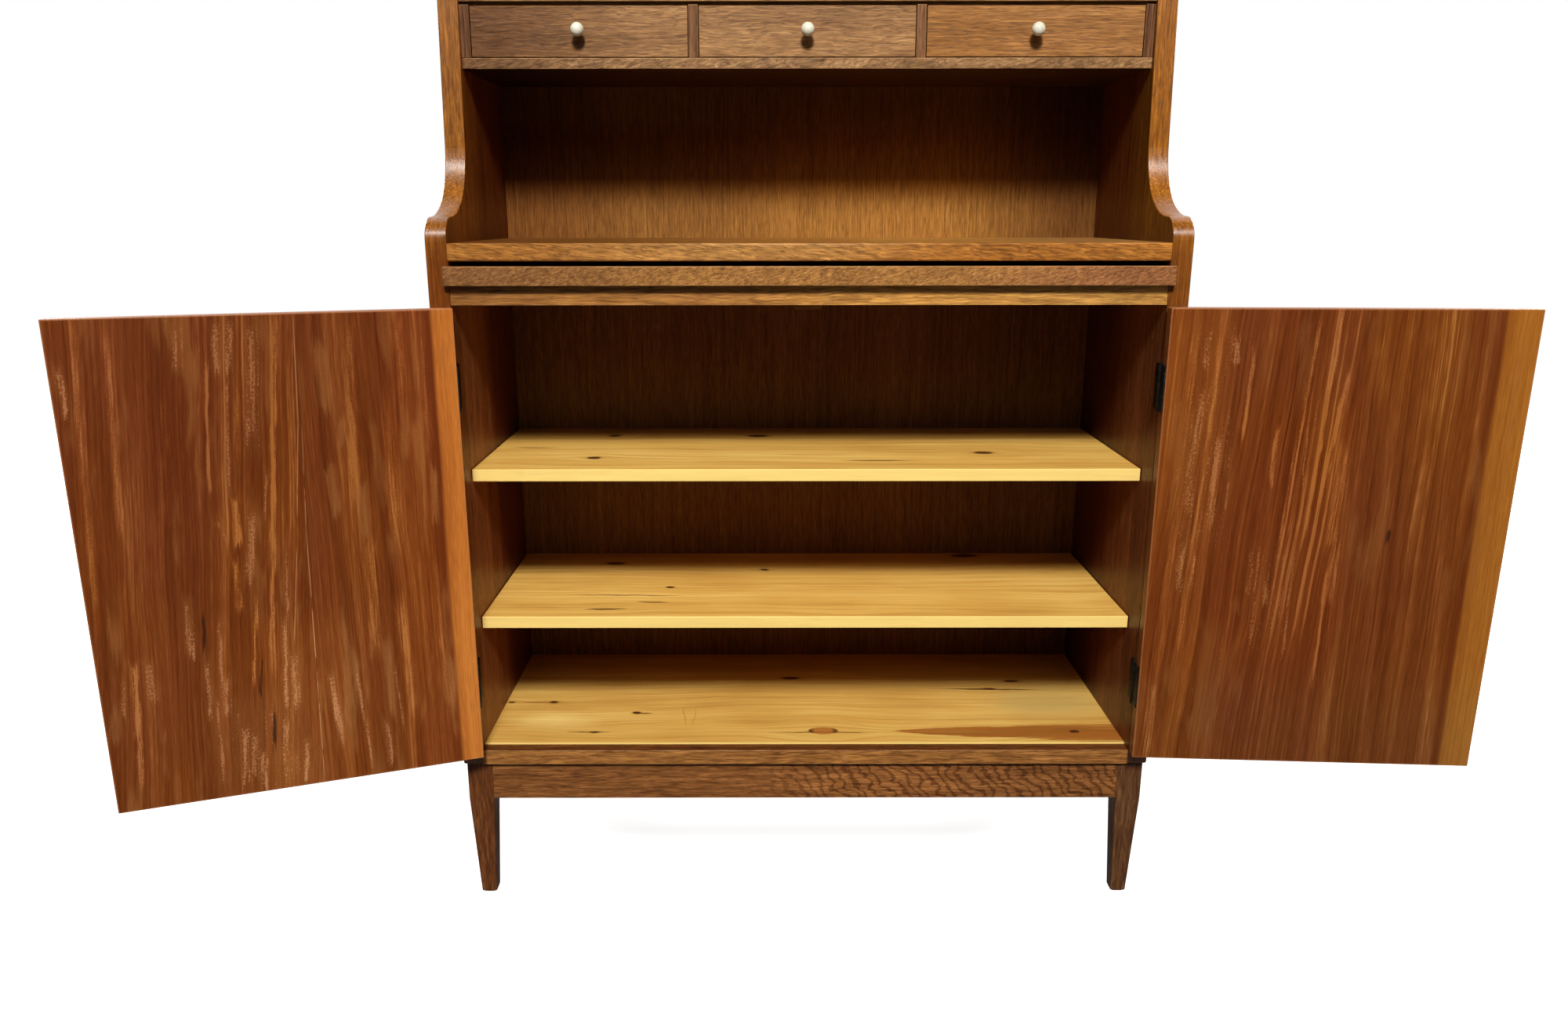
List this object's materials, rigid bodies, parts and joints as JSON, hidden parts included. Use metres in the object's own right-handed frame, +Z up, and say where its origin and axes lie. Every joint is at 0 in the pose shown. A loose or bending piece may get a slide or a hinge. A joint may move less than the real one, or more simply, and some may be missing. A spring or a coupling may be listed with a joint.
{
  "type": "bookcase cabinet",
  "caption": "Free-standing wooden bookcase cabinet on tapered legs: two-door cupboard with pine shelves, pull-out leaf, open niche, small drawers with ball knobs and scrolled side panels.",
  "frame": {"origin": "on the floor, under the middle of the carcass", "axes": "+X to the right as seen from the front, +Y to the back, +Z up; the doors open towards -Y"},
  "size_m": [1.6588, 0.5043, 1.7],
  "materials": {
    "mahogany": "satin lacquer over figured mahogany",
    "door_veneer": "satin lacquer over reddish mahogany veneer, worn in streaks",
    "back_veneer": "thin lacquer over mahogany plywood",
    "pine": "clear lacquer over knotty pine",
    "drawer_wood": "bare light hardwood",
    "peg_wood": "bare turned hardwood",
    "ivory_knob": "glossy ivory",
    "dark_steel": "aged dark steel"
  },
  "bodies": {
    "carcass": {"apron_front": "mahogany", "apron_left": "mahogany", "apron_rear": "mahogany", "apron_right": "mahogany", "back_panel_lower": "back_veneer", "back_panel_upper": "back_veneer", "book_shelf": "mahogany", "book_shelf_pegs": "peg_wood", "bottom_rail": "mahogany", "cupboard_bottom": "pine", "cupboard_shelf_lower": "pine", "cupboard_shelf_pegs": "peg_wood", "cupboard_shelf_upper": "pine", "door_stop": "mahogany", "drawer_case_bottom": "mahogany", "drawer_case_side_left": "mahogany", "drawer_case_side_right": "mahogany", "drawer_case_top": "back_veneer", "drawer_divider_left": "mahogany", "drawer_divider_right": "mahogany", "fixed_shelf": "mahogany", "hinge_jamb_leaves": "dark_steel", "hinge_pins": "dark_steel", "leaf_runner_left": "pine", "leaf_runner_right": "pine", "leg_front_left": "mahogany", "leg_front_right": "mahogany", "leg_rear_left": "mahogany", "leg_rear_right": "mahogany", "side_left": "mahogany", "side_right": "mahogany", "top_board": "mahogany", "top_rail": "mahogany", "worktop": "mahogany"},
    "door_left": {"door_left": "door_veneer", "door_knob_left": "ivory_knob", "hinge_door_leaves_left": "dark_steel"},
    "door_right": {"door_right": "door_veneer", "door_knob_right": "ivory_knob", "hinge_door_leaves_right": "dark_steel"},
    "leaf": {"leaf_panel": "mahogany", "leaf_lip": "mahogany", "leaf_rear_batten": "mahogany"},
    "drawer_left": {"drawer_front_left": "mahogany", "drawer_sides_left": "drawer_wood", "drawer_back_left": "drawer_wood", "drawer_bottom_left": "drawer_wood", "drawer_knob_left": "ivory_knob"},
    "drawer_middle": {"drawer_front_middle": "mahogany", "drawer_sides_middle": "drawer_wood", "drawer_back_middle": "drawer_wood", "drawer_bottom_middle": "drawer_wood", "drawer_knob_middle": "ivory_knob"},
    "drawer_right": {"drawer_front_right": "mahogany", "drawer_sides_right": "drawer_wood", "drawer_back_right": "drawer_wood", "drawer_bottom_right": "drawer_wood", "drawer_knob_right": "ivory_knob"}
  },
  "joints": [
    {"name": "door_left_hinge", "type": "hinge", "parent": "carcass", "child": "door_left", "pos_m": [-0.4222, -0.173, 0.5075], "axis": [0, 0, -1], "range_deg": [-160.3, 19.7]},
    {"name": "door_right_hinge", "type": "hinge", "parent": "carcass", "child": "door_right", "pos_m": [0.4222, -0.173, 0.5075], "axis": [0, 0, 1], "range_deg": [-176.5, 3.5]},
    {"name": "leaf_slide", "type": "slide", "parent": "carcass", "child": "leaf", "axis": [0, -1, 0], "range_m": [0, 0.22]},
    {"name": "drawer_left_slide", "type": "slide", "parent": "carcass", "child": "drawer_left", "axis": [0, -1, 0], "range_m": [0, 0.14]},
    {"name": "drawer_middle_slide", "type": "slide", "parent": "carcass", "child": "drawer_middle", "axis": [0, -1, 0], "range_m": [0, 0.14]},
    {"name": "drawer_right_slide", "type": "slide", "parent": "carcass", "child": "drawer_right", "axis": [0, -1, 0], "range_m": [0, 0.14]}
  ]
}
